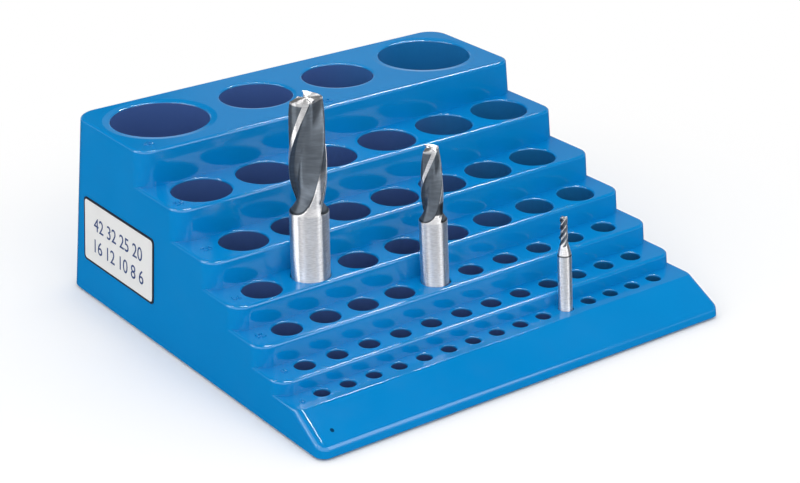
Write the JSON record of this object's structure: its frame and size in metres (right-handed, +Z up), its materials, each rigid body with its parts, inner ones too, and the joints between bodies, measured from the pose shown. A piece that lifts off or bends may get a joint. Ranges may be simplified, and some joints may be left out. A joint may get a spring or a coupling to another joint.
{
  "type": "end mill rack",
  "caption": "Stepped plastic bench rack with graded rows of round sockets that hold end mills upright by their shanks, cutting end up.",
  "frame": {"origin": "on the table, under the middle of the rack", "axes": "+X along the rows to the right, +Y to the high back, +Z up"},
  "size_m": [0.205, 0.2004, 0.114],
  "materials": {
    "casing": "glossy moulded blue",
    "base": "matte dark blue",
    "screws": "zinc plated",
    "rubber": "matte black",
    "nameplate": "white with a dark border",
    "tool_steel": "ground steel"
  },
  "bodies": {
    "rack": {"casing_step_1": "casing", "casing_step_2": "casing", "casing_step_3": "casing", "casing_step_4": "casing", "casing_step_5": "casing", "casing_step_6": "casing", "casing_step_7": "casing", "casing_nose": "casing", "base_plate": "base", "base_screws": "screws", "foot_back_left": "rubber", "foot_back_right": "rubber", "foot_front_left": "rubber", "foot_front_right": "rubber", "nameplate": "nameplate"},
    "end_mill_large_body": {"end_mill_large": "tool_steel"},
    "end_mill_medium_body": {"end_mill_medium": "tool_steel"},
    "end_mill_small_body": {"end_mill_small": "tool_steel"}
  },
  "joints": [
    {"name": "end_mill_large_lift", "type": "slide", "parent": "rack", "child": "end_mill_large_body", "axis": [0, 0, 1], "range_m": [0, 0.036]},
    {"name": "end_mill_medium_lift", "type": "slide", "parent": "rack", "child": "end_mill_medium_body", "axis": [-0.024, 0.0174, 0.9996], "range_m": [0, 0.026]},
    {"name": "end_mill_small_lift", "type": "slide", "parent": "rack", "child": "end_mill_small_body", "axis": [-0.0367, 0.0267, 0.999], "range_m": [0, 0.011]}
  ]
}
